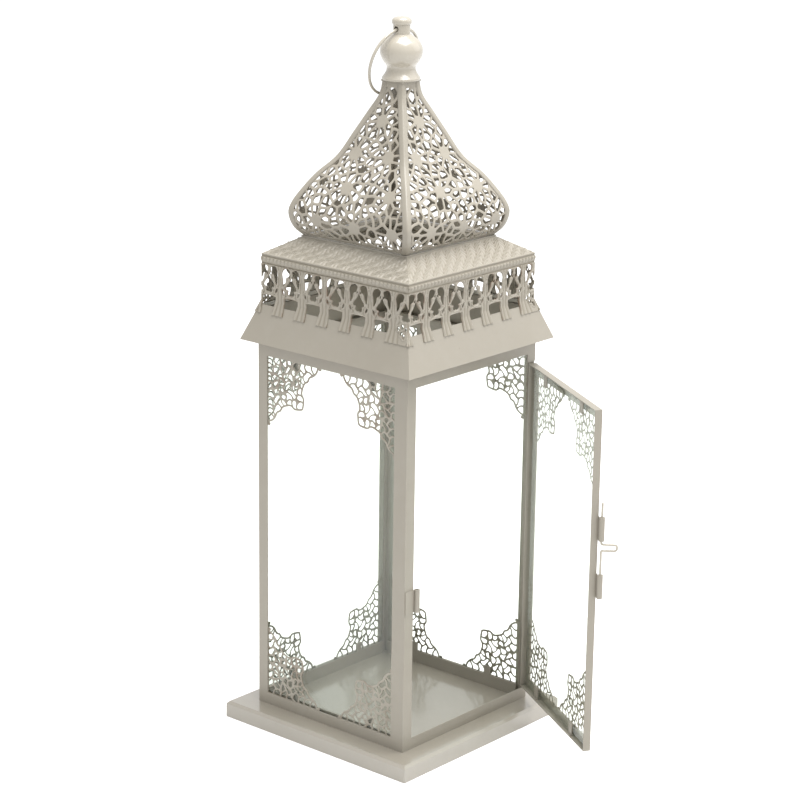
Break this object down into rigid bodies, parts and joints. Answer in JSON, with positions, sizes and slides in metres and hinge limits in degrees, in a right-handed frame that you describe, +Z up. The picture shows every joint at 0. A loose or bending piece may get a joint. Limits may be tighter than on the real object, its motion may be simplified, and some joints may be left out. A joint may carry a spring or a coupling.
{
  "type": "square metal candle lantern with onion dome",
  "caption": "Tall square candle lantern: painted sheet-metal body with glass panes, filigree brackets, hinged glazed door with a slide latch, pierced lace cornice, onion dome and hanging ring.",
  "frame": {"origin": "centre of the base tray's footprint, on the surface that the lantern stands on", "axes": "+Z up through the finial, door side facing -Y, hinge at +X"},
  "size_m": [0.185, 0.2956, 0.548],
  "materials": {
    "paint": "satin",
    "glass": "clear",
    "steel": "plain wire"
  },
  "bodies": {
    "housing": {"base_tray": "paint", "front_frame": "paint", "left_panel": "paint", "right_panel": "paint", "back_panel": "paint", "left_brackets": "paint", "right_brackets": "paint", "back_brackets": "paint", "left_glass": "glass", "right_glass": "glass", "back_glass": "glass", "left_glass_rails": "paint", "right_glass_rails": "paint", "back_glass_rails": "paint", "eaves_skirt": "paint", "cornice_front": "paint", "cornice_right": "paint", "cornice_back": "paint", "cornice_left": "paint", "dome_collar": "paint", "dome_front": "paint", "dome_right": "paint", "dome_back": "paint", "dome_left": "paint", "dome_ridge_front_right": "paint", "dome_ridge_back_right": "paint", "dome_ridge_back_left": "paint", "dome_ridge_front_left": "paint", "dome_cap": "paint", "finial": "paint", "hinge_knuckles": "paint", "hinge_pins": "steel", "latch_keeper": "paint"},
    "door": {"door_frame": "paint", "door_brackets": "paint", "door_glass": "glass", "door_glass_tabs": "paint", "door_knuckles": "paint", "latch_barrel_upper": "paint", "latch_barrel_lower": "paint"},
    "latch": {"latch_bolt": "paint"},
    "ring": {"hanging_ring": "paint"}
  },
  "joints": [
    {"name": "door_hinge", "type": "hinge", "parent": "housing", "child": "door", "pos_m": [0.07465, -0.07575, 0.1556], "axis": [0, 0, 1], "range_deg": [-59, 196]},
    {"name": "latch_slide", "type": "slide", "parent": "door", "child": "latch", "axis": [0, 0, 1], "range_m": [-0.017, 0.0015]},
    {"name": "ring_swing", "type": "hinge", "parent": "housing", "child": "ring", "pos_m": [0, 0, 0.5394], "axis": [1, 0, 0], "range_deg": [0, 327]}
  ]
}
